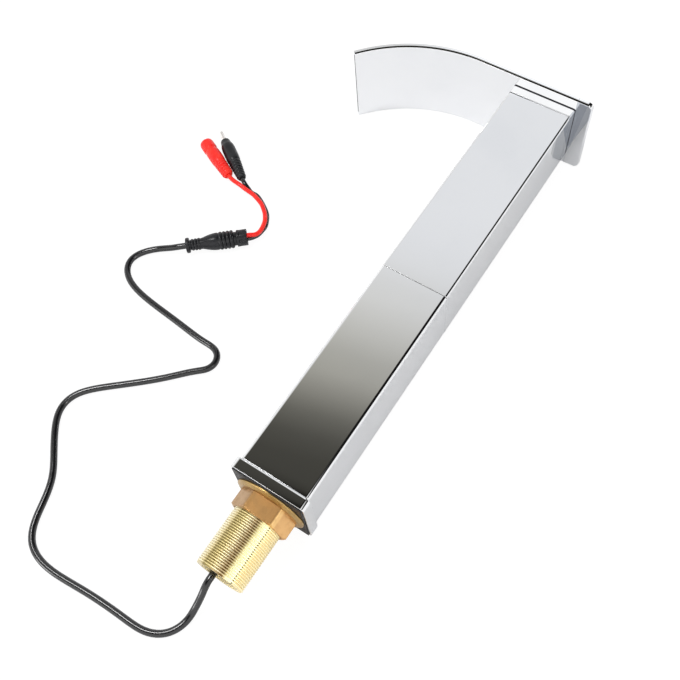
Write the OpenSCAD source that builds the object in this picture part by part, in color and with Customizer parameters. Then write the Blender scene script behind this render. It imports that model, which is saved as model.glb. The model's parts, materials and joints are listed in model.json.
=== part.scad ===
// Tall waterfall basin faucet with an infrared sensor, lying on its side as it is packed and shown.
// Each module is drawn with the column upright, z up the column and the spout towards -x.
// laid() then turns it on its side: the column runs along +Y, the spout reaches to -X, +Z is up.
// The origin is the centre of the flange's underside, where the faucet meets the deck.

/* [Column] */
// Width of the column, seen from the side of the spout
column_w = 49; // [42:0.5:56]
// Depth of the column, across the spout
column_d = 49; // [46:0.5:58]
// Wall of both column tubes
column_wall = 2.5; // [1.5:0.1:3.5]
// Radius along the upright edges of the upper column and the head cap
column_edge_r = 1.7; // [0.6:0.1:2.4]
// Radius along the upright edges of the lower column
lower_edge_r = 2.4; // [1:0.1:3]
// Lower column, from the flange to the middle of the seam
lower_len = 158.4; // [110:0.2:220]
// Upper column, from the middle of the seam to the head cap
upper_len = 173; // [120:0.5:240]
// Height of the spacer that shows as a dark line at the seam
seam_h = 0.8; // [0.4:0.1:2]
// How far that spacer stands back from the column's faces
seam_inset = 0.5; // [0.2:0.1:1.2]
// Height of the head cap on the column
cap_h = 8; // [6:0.5:14]
// Depth of the cap's plug inside the column
cap_plug = 10; // [6:0.5:20]

/* [Joint sleeve] */
// Length of the sleeve that joins the two column tubes
sleeve_len = 40; // [20:1:80]
// Wall of the sleeve
sleeve_wall = 2; // [1.2:0.1:3]
// Gap between any inner piece and the tube round it
slip_gap = 0.1; // [0.05:0.05:0.3]

/* [Spout] */
// Width of the spout plate
plate_w = 66.6; // [60:0.2:90]
// Thickness of the spout plate
plate_t = 4; // [3.4:0.1:7]
// Rounding along the plate's edges
plate_edge_r = 1.6; // [0.6:0.1:1.65]
// Plan radius of the plate's back corners
plate_corner_r = 4; // [2:0.5:8]
// From the column's axis to the plate's back end
back_reach = 36; // [32:0.5:48]
// From the column's axis to where the bend starts
bend_start = 53; // [30:0.5:80]
// Radius of the bend, on the underside
bend_r = 109; // [70:1:200]
// Angle through which the plate bends down
bend_angle = 50.4; // [20:0.1:70]
// Wall under the water channel
floor_t = 1.2; // [0.8:0.1:1.6]
// Wall above the water channel
roof_t = 1.2; // [0.8:0.1:1.6]
// Wall beside the water channel
side_t = 2.6; // [1.8:0.1:5]
// From the column's axis to the back of the water channel
channel_back = 18; // [8:0.5:26]
// Guide ribs in the water channel
rib_count = 5; // [1:1:9]
// Thickness of a guide rib
rib_t = 0.8; // [0.5:0.1:1.6]
// Distance of the ribs' front ends from the outlet
rib_setback = 7; // [3:0.5:20]
// Distance of the ribs' back ends from where the bend starts
rib_lead = 5; // [2:0.5:20]

/* [Base] */
// Side of the square flange
flange_w = 53; // [53:0.5:64]
// Height of the flange
flange_h = 7.6; // [5:0.1:12]
// Rounding of the flange's top edges and upright edges
flange_edge_r = 1.5; // [0.6:0.1:1.5]
// Width of the rim that rests on the deck
rim_w = 1.5; // [0.8:0.1:1.6]
// Depth of the gasket's recess
recess_h = 1.2; // [0.6:0.1:2]
// Thickness of the gasket
gasket_t = 2; // [1.4:0.1:4]
// Height of the brass block inside the column's foot
block_h = 20; // [16:0.5:30]
// Radius of the screws between flange and block
base_screw_r = 2; // [1.5:0.1:2.4]
// Length of those screws
base_screw_len = 14; // [9:0.5:17]

/* [Shank] */
// Outer radius of the threaded shank
shank_r = 16; // [15:0.1:16.5]
// Wall of the shank
shank_wall = 3; // [2:0.1:3.2]
// Length of the shank below the deck face
shank_len = 54; // [40:0.5:90]
// How far the shank screws into the block
shank_grip = 8; // [5:0.5:11]
// Chamfer at the shank's end
shank_chamfer = 0.8; // [0.4:0.1:1.4]
// Width of the thread relief under the lock nut
relief_w = 1.6; // [1:0.1:3]
// Depth of that relief
relief_depth = 0.3; // [0.2:0.05:0.6]

/* [Lock nut] */
// Radius of the clamp washer
washer_r = 24.3; // [22.5:0.1:24.6]
// Thickness of the clamp washer
washer_t = 2.6; // [1.6:0.1:4]
// Thickness left at the washer's rim
washer_rim = 1; // [0.5:0.1:1.5]
// Width of the bevel on the washer
washer_bevel = 2.8; // [1:0.1:3.5]
// Hexagon across its flats
nut_flats = 35; // [34.5:0.1:42]
// Height of the nut
nut_h = 12; // [8:0.5:16]
// Height of the chamfer on the hexagon's corners
nut_chamfer = 0.7; // [0.3:0.1:1.5]
// Turn of the hexagon about the column's axis
nut_turn = 8; // [0:1:59]
// Running gap between the shank and what slides on it
nut_gap = 0.1; // [0.05:0.01:0.2]

/* [Riser] */
// Outer radius of the riser tube
riser_r = 6; // [5.4:0.1:6.5]
// Inner radius of the riser tube
riser_bore = 4.2; // [3:0.1:4.4]
// Radius of the hose thread in the riser's foot
inlet_r = 4.5; // [4.45:0.05:5]
// Depth of that thread
inlet_len = 12; // [8:0.5:16]
// How far the riser stands below the nut
riser_tail = 1; // [0.5:0.1:1.4]
// Riser nut across its flats
riser_nut_flats = 16; // [15:0.1:17]
// Height of the riser nut
riser_nut_h = 5; // [4:0.1:5.5]
// Thickness of the fibre washer under the block
riser_washer_t = 1; // [0.6:0.1:1.5]
// Radius of that washer
riser_washer_r = 8; // [7.4:0.1:8.4]
// How deep the riser screws into the head cap
riser_grip = 12; // [8:0.5:14]
// Section radius of the seal ring in the cap
ring_r = 0.95; // [0.6:0.05:1.2]

/* [Sensor] */
// Height of the sensor window's centre below the head cap
sensor_drop = 49; // [40:1:90]
// Width of the sensor window
window_w = 15; // [10:0.5:20]
// Height of the sensor window
window_h = 26; // [16:0.5:36]
// Corner radius of the sensor window
window_r = 2.5; // [1:0.1:4]
// Frame of the housing round the window
housing_frame = 2.5; // [2:0.1:4]
// Depth of the sensor housing
housing_depth = 10.4; // [9.5:0.1:11]
// Wall of the sensor housing
housing_wall = 1.6; // [1:0.1:2]
// Thickness of the seal behind the window
seal_t = 0.8; // [0.5:0.1:1.5]
// Thickness of the circuit board
board_t = 1.2; // [0.8:0.1:1.6]
// Radius of the emitter and receiver
diode_r = 2.5; // [1.5:0.1:3]
// Distance between emitter and receiver
diode_pitch = 12; // [8:0.5:16]
// Thickness of the bracket's legs and back
bracket_t = 2; // [1.4:0.1:2.5]
// Height of the bracket
bracket_h = 16; // [10:0.5:24]

/* [Cable and connectors] */
// Diameter of the sensor cable
cable_d = 4.7; // [3:0.1:4.8]
// Diameter of the red and black leads
lead_d = 3.4; // [2:0.1:3.5]
// Wall of the rubber grommet in the block
grommet_wall = 1.1; // [0.8:0.1:1.3]
// Thickness of the grommet's collars
grommet_lip = 1.2; // [0.8:0.1:2]
// Largest radius of the in-line connector
connector_r = 6.8; // [6.2:0.1:8]
// Radius of the connector's neck
connector_neck_r = 4.1; // [3.2:0.1:4.5]
// Radius of the flange at the connector's cable end
connector_flange_r = 5.7; // [4.8:0.1:6.2]
// Radius of the connector's coupling collar
collar_r = 6.2; // [5.4:0.1:6.6]
// Length of the coupling collar
collar_len = 7.6; // [5:0.1:12]
// Radius of the red jack
jack_r = 5.5; // [4.2:0.1:5.6]
// Length of the red jack
jack_len = 39.5; // [32:0.5:46]
// Radius of the black plug
plug_r = 5.3; // [4:0.1:5.4]
// Length of the black plug without its barrel
plug_len = 42; // [30:0.5:48]
// Radius of the plug's barrel
barrel_r = 1.75; // [1.5:0.05:2]
// Length of the plug's barrel
barrel_len = 9.4; // [8:0.1:11]
// Radius of the pin that the plug's barrel takes
pin_r = 0.65; // [0.5:0.05:0.7]

/* [Hidden] */
$fn = 48;
cut = 1;                       // overrun of every cut

// Heights up the column
seam_z = flange_h + lower_len;
cap_z = seam_z + upper_len;
plate_z = cap_z + cap_h;
block_top = flange_h + block_h;
shank_top = flange_h + shank_grip;
riser_top = cap_z - cap_plug + riser_grip;
riser_foot = shank_top - riser_washer_t - riser_nut_h - riser_tail;
sensor_z = cap_z - sensor_drop;

// Inside the tubes
inner_w = column_w - 2 * column_wall;
inner_d = column_d - 2 * column_wall;
plug_w = inner_w - 2 * slip_gap;
plug_d = inner_d - 2 * slip_gap;

// Base fastening, at the corners of the block outside the shank
screw_x_share = 0.4;
screw_y_share = 0.4;
screw_x = plug_w * screw_x_share;
screw_y = plug_d * screw_y_share;
screw_head_r = 1.8 * base_screw_r;

// Gasket and what is drawn up against it
recess_w = flange_w - 2 * rim_w;
gasket_bottom = recess_h - gasket_t;
washer_bottom = gasket_bottom - washer_t;
nut_bottom = washer_bottom - nut_h;
nut_r = nut_flats / 2 / cos(30);
shank_bore = shank_r - shank_wall;

// Spout
bend_z = plate_z - bend_r;
channel_w = plate_w - 2 * side_t;
rib_from = rib_lead / bend_r * 180 / PI;
rib_to = bend_angle - rib_setback / bend_r * 180 / PI;
rib_pitch = channel_w / (rib_count + 1);

// Sensor stack, from the column's face inwards
wall_x = -column_w / 2 + column_wall;
housing_x = wall_x + seal_t;
housing_back = housing_x + housing_depth;
housing_w = window_w + 2 * housing_frame;
housing_h = window_h + 2 * housing_frame;
board_x = housing_back - housing_wall - board_t;

// Cable inside the faucet: down beside the riser, through the block and the shank
cable_r = cable_d / 2;
cable_turn = 128;              // where it lies round the shank's axis
cable_off = shank_bore - cable_r - slip_gap;
cable_x = cable_off * cos(cable_turn);
cable_y = cable_off * sin(cable_turn);
loft_x = (housing_x + board_x) / 2;
cable_exit = [cable_x, -shank_len, -cable_y];
grommet_r = cable_r + slip_gap / 2 + grommet_wall;
grommet_waist = 0.4 * grommet_wall;

// The surface that the faucet lies on, through the spout's two lower ends and the flange's corner
spout_mid_r = bend_r + plate_t / 2;
rest_a = [-bend_start - spout_mid_r * sin(bend_angle), bend_z + spout_mid_r * cos(bend_angle), -plate_w / 2];
rest_b = [back_reach - plate_corner_r, plate_z + plate_t / 2, -plate_w / 2];
rest_c = [flange_w / 2 - flange_edge_r, 0, -flange_w / 2];
rest_n = cross(rest_b - rest_a, rest_c - rest_a);
lay_gap = 0.1;                 // what lies on the surface stays this far above it
function ground(x, y) = rest_a.z - (rest_n.x * (x - rest_a.x) + rest_n.y * (y - rest_a.y)) / rest_n.z;
function lie(x, y, h) = [x, y, ground(x, y) + h + lay_gap];

// In-line connector, from its cable end: where it lies and the stretches along it
connector_at = [-174.8, 130.2];
connector_turn = 41;
flange_len = 3.6;
neck_len = 7.2;
belly_len = 15.2;
rings_len = 9.6;
gap_len = 2.3;
rings_end = flange_len + neck_len + belly_len + rings_len;
collar_z = rings_end + gap_len;
connector_len = collar_z + collar_len;
connector_in = lie(connector_at.x, connector_at.y, connector_r);
connector_dir = heading(connector_at, connector_turn);
connector_out = connector_in + connector_len * connector_dir;
lead_rise = [0, 0, 0.65 * lead_d];

// Red jack and black plug, from their cable ends
jack_at = [-188.2, 200.3];
jack_turn = 154.5;
jack_in = lie(jack_at.x, jack_at.y, jack_r);
jack_dir = heading(jack_at, jack_turn);
plug_at = [-177.4, 203.3];
plug_turn = 145.8;
plug_in = lie(plug_at.x, plug_at.y, plug_r);
plug_dir = heading(plug_at, plug_turn);

// A unit vector along the surface, from a place on it and a turn about the upright
function heading(p, turn) = let(q = p + [cos(turn), sin(turn)],
    v = [q.x - p.x, q.y - p.y, ground(q.x, q.y) - ground(p.x, p.y)]) v / norm(v);

// Routes: x, y and how far the middle of the cord lies above the surface less its own radius
cable_route = [
    [-6.5, -60, 15], [-6, -66, 11], [-6.5, -71, 6], [-7, -76, 2], [-7, -82, 0],
    [-9, -90.5, 0], [-15.5, -98.5, 0], [-27, -103, 0], [-43, -102.5, 0], [-69, -103, 0],
    [-95, -106, 0], [-111, -104.5, 0], [-122.5, -98.5, 0], [-129, -87.5, 0], [-132.5, -75, 0],
    [-138, -59.5, 0], [-149, -47, 0], [-160.5, -34, 0], [-169, -21, 0], [-168.5, -8, 0],
    [-160.5, 3, 0], [-145, 16, 0], [-123, 35, 0], [-108.2, 51.6, 0], [-100.3, 57.2, 0],
    [-98.2, 64.2, 0], [-100.8, 70.7, 0], [-107.3, 74.4, 0], [-118.8, 73.6, 0], [-143.5, 77.1, 0],
    [-178, 80, 0], [-197.5, 86, 0], [-206.5, 97, 0], [-204.5, 108, 0], [-195, 118, 0.5],
    [-185, 123, 2.5]];
red_route = [
    [-135.9, 164.1, 6.1], [-134.6, 168.9, 5.2], [-137.7, 178.8, 4.1], [-139.3, 180.9, 4.5],
    [-142, 184.9, 3.6], [-148.8, 190.4, 3.5], [-150.9, 191.7, 3.4], [-159.6, 195.1, 3.6],
    [-164.8, 195.8, 3.5], [-172.5, 196.8, 3.5], [-174.6, 197.1, 4.6]];
black_route = [
    [-136.9, 164.3, 2.9], [-136, 167.4, 1.8], [-136.2, 176.4, 0.9], [-137, 178.4, 1],
    [-141.1, 186, 0], [-146.1, 190.4, 0], [-158.8, 198.2, 0], [-162.9, 197.9, 0],
    [-164.4, 197.9, 0], [-166.6, 198.3, 0.2], [-169, 199.3, 1.2]];
cable_sides = 10;
lead_sides = 8;
ring_step = 2.5;               // rings along a tube, in diameters
lead_stub = 3;                 // straight stretch of a lead where it leaves the connector
lead_lineup = 5;               // straight stretch before the jack and the plug

// Cubic B-spline led by a route, ends run straight
function blend(a, b, c, d, t) = ((1 - t) ^ 3 * a + (3 * t ^ 3 - 6 * t ^ 2 + 4) * b
    + (1 + 3 * t + 3 * t ^ 2 - 3 * t ^ 3) * c + t ^ 3 * d) / 6;
function reach(p, i) = i < 0 ? 2 * p[0] - p[1] : i >= len(p) ? 2 * p[len(p) - 1] - p[len(p) - 2] : p[i];
function curve(p, d) = [for (i = [0 : len(p) - 2])
    let(n = max(1, round(norm(p[i + 1] - p[i]) / (ring_step * d))))
    for (k = [0 : n - 1]) blend(reach(p, i - 1), p[i], p[i + 1], reach(p, i + 2), k / n),
    p[len(p) - 1]];
function unit(v) = v / norm(v);
function tangent(p, i) = unit(reach(p, i + 1) - reach(p, i - 1));
function lifted(route, r) = [for (q = route) lie(q.x, q.y, q.z + r)];

// Tube of a given diameter along points
module tube(p, d, sides) {
    n = len(p);
    points = [for (i = [0 : n - 1])
        let(t = tangent(p, i), s = unit(cross([0, 0, 1], t)), u = cross(t, s))
        for (k = [0 : sides - 1]) p[i] + d / 2 * (cos(360 * k / sides) * s + sin(360 * k / sides) * u)];
    wall = [for (i = [0 : n - 2]) for (k = [0 : sides - 1])
        let(a = i * sides + k, b = i * sides + (k + 1) % sides, c = b + sides, e = a + sides)
        each [[a, e, c], [a, c, b]]];
    first = [for (k = [0 : sides - 1]) k];
    last = [for (k = [sides - 1 : -1 : 0]) (n - 1) * sides + k];
    polyhedron(points, concat([first], wall, [last]), convexity = 10);
}

// Turns what is drawn upright onto its side
module laid() rotate([-90, 0, 0]) children();

// Puts what is drawn along +z onto an axis from a point along a direction
module along(p, v) translate(p) rotate([0, acos(v.z), atan2(v.y, v.x)]) children();

// Rectangle with round corners, built from true arcs
module rounded(w, d, r) {
    square([w - 2 * r, d], center = true);
    square([w, d - 2 * r], center = true);
    for (x = [-1, 1], y = [-1, 1]) translate([x * (w / 2 - r), y * (d / 2 - r)]) circle(r);
}

// Hollow square tube with round outer edges
module box_tube(w, d, wall, r, h) linear_extrude(h) difference() {
    rounded(w, d, r);
    square([w - 2 * wall, d - 2 * wall], center = true);
}

// Slab whose upright edges and top edges are round
module round_top_slab(w, h, r) {
    side = w - 2 * r;
    linear_extrude(h - r) rounded(w, w, r);
    translate([0, 0, h - r]) {
        linear_extrude(r) square(side, center = true);
        for (a = [0 : 90 : 270]) rotate([0, 0, a]) {
            translate([side / 2, 0, 0]) rotate([90, 0, 0]) cylinder(h = side, r = r, center = true);
            translate([side / 2, side / 2, 0]) sphere(r);
        }
    }
}

// Four places at the corners of a rectangle
module corners(x, y) for (i = [-1, 1], j = [-1, 1]) translate([i * x, j * y, 0]) children();

module hex(flats, h) cylinder(h = h, r = flats / 2 / cos(30), $fn = 6);

// Ring of round section about the z axis
module ring(mid, r) rotate_extrude() translate([mid, 0]) circle(r);

// Column and head

module lower_column() color("#d9dbde") laid()
    translate([0, 0, flange_h]) box_tube(column_w, column_d, column_wall, lower_edge_r, lower_len - seam_h / 2);

module upper_column() color("#dfe1e4") laid() difference() {
    translate([0, 0, seam_z + seam_h / 2])
        box_tube(column_w, column_d, column_wall, column_edge_r, upper_len - seam_h / 2);
    translate([wall_x + cut, 0, sensor_z]) rotate([0, -90, 0])
        linear_extrude(column_wall + 2 * cut) rounded(window_h, window_w, window_r);
}

module seam_ring() color("#26272a") laid() translate([0, 0, seam_z - seam_h / 2]) linear_extrude(seam_h)
    difference() {
        rounded(column_w - 2 * seam_inset, column_d - 2 * seam_inset, lower_edge_r - seam_inset);
        square([inner_w, inner_d], center = true);
    }

module joint_sleeve() color("#c8a85c") laid() translate([0, 0, seam_z - sleeve_len / 2])
    linear_extrude(sleeve_len) difference() {
        square([plug_w, plug_d], center = true);
        square([plug_w - 2 * sleeve_wall, plug_d - 2 * sleeve_wall], center = true);
    }

ring_mid = riser_r + slip_gap / 2 + ring_r;
ring_seat_r = ring_mid + ring_r + slip_gap / 2;
ring_z = cap_z - cap_plug / 2;

module head_cap() color("#e2e4e7") laid() difference() {
    union() {
        translate([0, 0, cap_z]) linear_extrude(cap_h) rounded(column_w, column_d, column_edge_r);
        translate([-plug_w / 2, -plug_d / 2, cap_z - cap_plug]) cube([plug_w, plug_d, cap_plug]);
    }
    translate([0, 0, cap_z - cap_plug - cut]) cylinder(h = riser_grip + cut, r = riser_r + slip_gap / 2);
    translate([0, 0, riser_top - cut]) cylinder(h = plate_z - riser_top + 2 * cut, r = riser_bore);
    translate([0, 0, ring_z - ring_r]) cylinder(h = 2 * ring_r, r = ring_seat_r);
}

// Spout

// Section across the plate: x is the height in the plate, y runs across it
module plate_section(from, to) intersection() {
    union() {
        square_between(0, plate_t, plate_w / 2 - plate_edge_r);
        square_between(plate_edge_r, plate_t - plate_edge_r, plate_w / 2);
        for (x = [plate_edge_r, plate_t - plate_edge_r], y = [-1, 1])
            translate([x, y * (plate_w / 2 - plate_edge_r)]) circle(plate_edge_r);
    }
    square_between(from, to, plate_w);
}

module square_between(x0, x1, half) translate([x0, -half]) square([x1 - x0, 2 * half]);

// Half section at the plate's back end: x runs outwards, y is the height in the plate
module edge_section(from, to) intersection() {
    union() {
        square([plate_corner_r - plate_edge_r, plate_t]);
        translate([0, plate_edge_r]) square([plate_corner_r, plate_t - 2 * plate_edge_r]);
        for (y = [plate_edge_r, plate_t - plate_edge_r])
            translate([plate_corner_r - plate_edge_r, y]) circle(plate_edge_r);
    }
    translate([0, from]) square([plate_corner_r, to - from]);
}

// Carries a section round the bend, from one angle to another
module bend_sweep(from, to) translate([-bend_start, 0, bend_z]) rotate([90, 0, 0]) rotate([0, 0, 90 + from])
    rotate_extrude(angle = to - from, $fn = 160) translate([bend_r, 0]) children();

// Carries a section forward over the column, then down through the bend
module spout_sweep(back, angle) {
    translate([back, 0, plate_z]) rotate([0, -90, 0]) linear_extrude(back + bend_start) children();
    bend_sweep(0, angle) children();
}

// The plate between two heights in it, with its round back end
module plate_form(from, to) {
    end_x = back_reach - plate_corner_r;
    end_y = plate_w / 2 - plate_corner_r;
    spout_sweep(end_x, bend_angle) plate_section(from, to);
    translate([end_x, end_y, plate_z]) rotate([90, 0, 0]) linear_extrude(2 * end_y) edge_section(from, to);
    for (s = [0, 1]) mirror([0, s, 0]) translate([end_x, end_y, plate_z])
        rotate_extrude(angle = 90) edge_section(from, to);
}

module channel() spout_sweep(channel_back, bend_angle + cut)
    square_between(floor_t, plate_t - roof_t, channel_w / 2);

module spout_tray() color("#e6e8eb") laid() {
    difference() {
        plate_form(0, plate_t / 2);
        channel();
        translate([0, 0, plate_z - cut]) cylinder(h = plate_t, r = riser_bore);
    }
    for (i = [1 : rib_count]) bend_sweep(rib_from, rib_to)
        translate([floor_t / 2, -channel_w / 2 + i * rib_pitch - rib_t / 2])
            square([plate_t - roof_t - floor_t / 2, rib_t]);
}

module spout_cover() color("#eceef0") laid() difference() {
    plate_form(plate_t / 2, plate_t);
    channel();
}

// Base

module base_flange() color("#cfd2d5") laid() difference() {
    round_top_slab(flange_w, flange_h, flange_edge_r);
    translate([-recess_w / 2, -recess_w / 2, -cut]) cube([recess_w, recess_w, recess_h + cut]);
    cylinder(h = flange_h + cut, r = shank_r + slip_gap / 2);
    corners(screw_x, screw_y) {
        cylinder(h = flange_h + cut, r = base_screw_r + slip_gap);
        translate([0, 0, recess_h]) cylinder(h = screw_head_r - base_screw_r, r1 = screw_head_r + slip_gap,
            r2 = base_screw_r + slip_gap);
    }
}

module base_gasket() color("#1c1c1e") laid() translate([0, 0, gasket_bottom]) linear_extrude(gasket_t)
    difference() {
        square(recess_w - 4 * slip_gap, center = true);
        circle(shank_r + 3 * slip_gap);
    }

module base_screws() color("#b9bcc0") laid() corners(screw_x, screw_y) translate([0, 0, recess_h]) {
    cylinder(h = screw_head_r - base_screw_r, r1 = screw_head_r, r2 = base_screw_r);
    cylinder(h = base_screw_len, r = base_screw_r);
}

module base_block() color("#c9a961") laid() difference() {
    translate([-plug_w / 2, -plug_d / 2, flange_h]) cube([plug_w, plug_d, block_h]);
    translate([0, 0, flange_h - cut]) cylinder(h = shank_grip + cut, r = shank_r + slip_gap / 2);
    translate([0, 0, flange_h]) cylinder(h = block_h + cut, r = riser_r + slip_gap);
    translate([cable_x, cable_y, flange_h]) cylinder(h = block_h + cut, r = grommet_r);
    corners(screw_x, screw_y) translate([0, 0, flange_h - cut])
        cylinder(h = recess_h + base_screw_len - flange_h + 2 * cut, r = base_screw_r + slip_gap / 2);
}

module threaded_shank() color("#e3cd83") laid() difference() {
    union() {
        translate([0, 0, -shank_len + shank_chamfer])
            cylinder(h = shank_top + shank_len - shank_chamfer, r = shank_r);
        translate([0, 0, -shank_len]) cylinder(h = shank_chamfer, r1 = shank_r - shank_chamfer, r2 = shank_r);
    }
    translate([0, 0, -shank_len - cut]) cylinder(h = shank_len + shank_top + 2 * cut, r = shank_bore);
    translate([0, 0, nut_bottom - relief_w / 2]) difference() {
        cylinder(h = relief_w, r = shank_r + cut);
        translate([0, 0, -cut]) cylinder(h = relief_w + 2 * cut, r = shank_r - relief_depth);
    }
}

// Clamp washer and lock nut, drawn up against the gasket

module clamp_washer() color("#cfa45a") laid() translate([0, 0, washer_bottom]) rotate_extrude($fn = 96)
    polygon([[shank_r + nut_gap, 0], [washer_r - washer_bevel, 0], [washer_r, washer_t - washer_rim],
        [washer_r, washer_t], [shank_r + nut_gap, washer_t]]);

module lock_nut() color("#b98d4a") laid() translate([0, 0, nut_bottom]) difference() {
    intersection() {
        rotate([0, 0, nut_turn]) hex(nut_flats, nut_h);
        rotate_extrude() polygon([[0, 0], [nut_r - 2 * nut_chamfer, 0], [nut_r, nut_chamfer],
            [nut_r + cut, nut_chamfer], [nut_r + cut, nut_h], [0, nut_h]]);
    }
    translate([0, 0, -cut]) cylinder(h = nut_h + 2 * cut, r = shank_r + nut_gap);
}

// Water riser: draws the head cap down onto the columns

module riser_tube() color("#c77b4a") laid() difference() {
    translate([0, 0, riser_foot]) cylinder(h = riser_top - riser_foot, r = riser_r);
    translate([0, 0, riser_foot - cut]) cylinder(h = riser_top - riser_foot + 2 * cut, r = riser_bore);
    translate([0, 0, riser_foot - cut]) cylinder(h = inlet_len + cut, r = inlet_r);
}

module riser_nut() color("#c9a24f") laid() translate([0, 0, riser_foot + riser_tail]) difference() {
    rotate([0, 0, cable_turn + 30]) hex(riser_nut_flats, riser_nut_h);
    translate([0, 0, -cut]) cylinder(h = riser_nut_h + 2 * cut, r = riser_r + slip_gap / 2);
}

module riser_washer() color("#7d2f26") laid() translate([0, 0, shank_top - riser_washer_t]) difference() {
    cylinder(h = riser_washer_t, r = riser_washer_r);
    translate([0, 0, -cut]) cylinder(h = riser_washer_t + 2 * cut, r = riser_r + slip_gap);
}

module riser_seal() color("#1b1b1d") laid() translate([0, 0, ring_z]) ring(ring_mid, ring_r);

// Sensor

module sensor_window() color("#17181b") laid() translate([wall_x, 0, sensor_z]) rotate([0, -90, 0])
    linear_extrude(column_wall) rounded(window_h - 2 * slip_gap, window_w - 2 * slip_gap, window_r - slip_gap);

module sensor_seal() color("#2b2b2d") laid() translate([housing_x, 0, sensor_z]) rotate([0, -90, 0])
    linear_extrude(seal_t) difference() {
        square([housing_h, housing_w], center = true);
        square([window_h - 6 * slip_gap, window_w - 6 * slip_gap], center = true);
    }

module sensor_housing() color("#222326") laid() translate([housing_back, 0, sensor_z]) rotate([0, -90, 0])
    difference() {
        linear_extrude(housing_depth) square([housing_h, housing_w], center = true);
        translate([0, 0, housing_wall]) linear_extrude(housing_depth)
            square([housing_h - 2 * housing_wall, housing_w - 2 * housing_wall], center = true);
    }

module sensor_board() color("#2f7a46") laid() translate([board_x + board_t, 0, sensor_z]) rotate([0, -90, 0])
    linear_extrude(board_t) square([housing_h - 2 * housing_wall - 2 * slip_gap,
        housing_w - 2 * housing_wall - 2 * slip_gap], center = true);

module sensor_diodes() color("#4b3a5e") laid() for (s = [-1, 1])
    translate([board_x, 0, sensor_z + s * diode_pitch / 2]) rotate([0, -90, 0]) {
        cylinder(h = board_x - housing_x - diode_r, r = diode_r);
        translate([0, 0, board_x - housing_x - diode_r]) sphere(diode_r);
    }

module sensor_bracket() color("#3a3b3f") laid() translate([0, 0, sensor_z - bracket_h / 2]) {
    leg_y = housing_w / 2 - bracket_t;
    translate([housing_back, -housing_w / 2, 0]) cube([bracket_t, housing_w, bracket_h]);
    for (s = [0, 1]) mirror([0, s, 0]) translate([housing_back, leg_y, 0])
        cube([inner_w / 2 - housing_back, bracket_t, bracket_h]);
}

// Cables and connectors

module inner_cable() color("#202124") {
    top_z = sensor_z - housing_h / 2;
    low_z = block_top + 4 * cable_d;
    bend = 8 * cable_d;
    p = [[loft_x, 0, top_z], [loft_x, 0, top_z - bend], [loft_x, 0, low_z + 2 * bend],
        [loft_x, 0, low_z + bend], [(loft_x + cable_x) / 2, cable_y / 2, low_z + bend / 2],
        [cable_x, cable_y, low_z], [cable_x, cable_y, block_top], [cable_x, cable_y, -shank_len]];
    tube([for (q = p) [q.x, q.z, -q.y]], cable_d, cable_sides);
}

module cable_grommet() color("#161618") laid() translate([cable_x, cable_y, block_top]) rotate_extrude()
    polygon([[cable_r + slip_gap / 2, -block_h + shank_grip], [grommet_r, -block_h + shank_grip], [grommet_r, 0],
        [grommet_r + grommet_waist, 0], [grommet_r + grommet_waist, grommet_lip],
        [cable_r + slip_gap / 2, grommet_lip]]);

module sensor_cable() color("#1d1e20") tube(curve(concat([cable_exit], lifted(cable_route, cable_r),
    [connector_in - 1.5 * cable_d * connector_dir, connector_in]), cable_d), cable_d, cable_sides);

// Turned body with evenly spaced grooves cut round it
module grooves(from, pitch, count, r, depth, w) for (i = [0 : count - 1])
    translate([0, 0, from + i * pitch]) difference() {
        cylinder(h = w, r = r + depth);
        translate([0, 0, -cut]) cylinder(h = w + 2 * cut, r = r - depth);
    }

module connector_plug() color("#1b1c1e") along(connector_in, connector_dir) {
    belly_z = flange_len + neck_len;
    groove_w = 0.13 * rings_len;
    difference() {
        rotate_extrude() polygon([[0, 0], [connector_flange_r, 0], [connector_flange_r, flange_len],
            [connector_neck_r, flange_len], [connector_neck_r, belly_z],
            [0.72 * connector_r, belly_z + 0.25 * belly_len], [0.9 * connector_r, belly_z + 0.6 * belly_len],
            [0.98 * connector_r, belly_z + belly_len], [connector_r, belly_z + belly_len + groove_w],
            [connector_r, rings_end], [0.76 * connector_r, rings_end],
            [0.76 * connector_r, collar_z], [0, collar_z]]);
        grooves(flange_len + 0.2 * neck_len, 0.3 * neck_len, 3, connector_neck_r, 0.12 * connector_neck_r,
            0.13 * neck_len);
        grooves(belly_z + belly_len + groove_w, 0.28 * rings_len, 3, connector_r, 0.08 * connector_r, groove_w);
    }
}

module connector_socket() color("#232427") along(connector_in + collar_z * connector_dir, connector_dir)
    difference() {
        cylinder(h = collar_len, r = collar_r);
        for (a = [0 : 30 : 330]) rotate([0, 0, a]) translate([collar_r, 0, 0.3 * collar_len])
            cylinder(h = collar_len, r = 0.08 * collar_r);
    }

module red_lead() color("#d0211f") tube(curve(concat([connector_out + lead_rise,
    connector_out + lead_rise + lead_stub * connector_dir], lifted(red_route, lead_d / 2),
    [jack_in - lead_lineup * jack_dir, jack_in]), lead_d), lead_d, lead_sides);

module black_lead() color("#222226") tube(curve(concat([connector_out - lead_rise,
    connector_out - lead_rise + lead_stub * connector_dir], lifted(black_route, lead_d / 2),
    [plug_in - lead_lineup * plug_dir, plug_in]), lead_d), lead_d, lead_sides);

// Lengths along the jack and the plug, as shares of their bodies
jack_boot_share = 0.34;
jack_neck_share = 0.43;
jack_ring_share = 0.7;
jack_mouth_share = 0.28;
plug_boot_share = 0.36;
plug_nose_share = 0.8;
jack_mouth_r = barrel_r + 2 * slip_gap;

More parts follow.
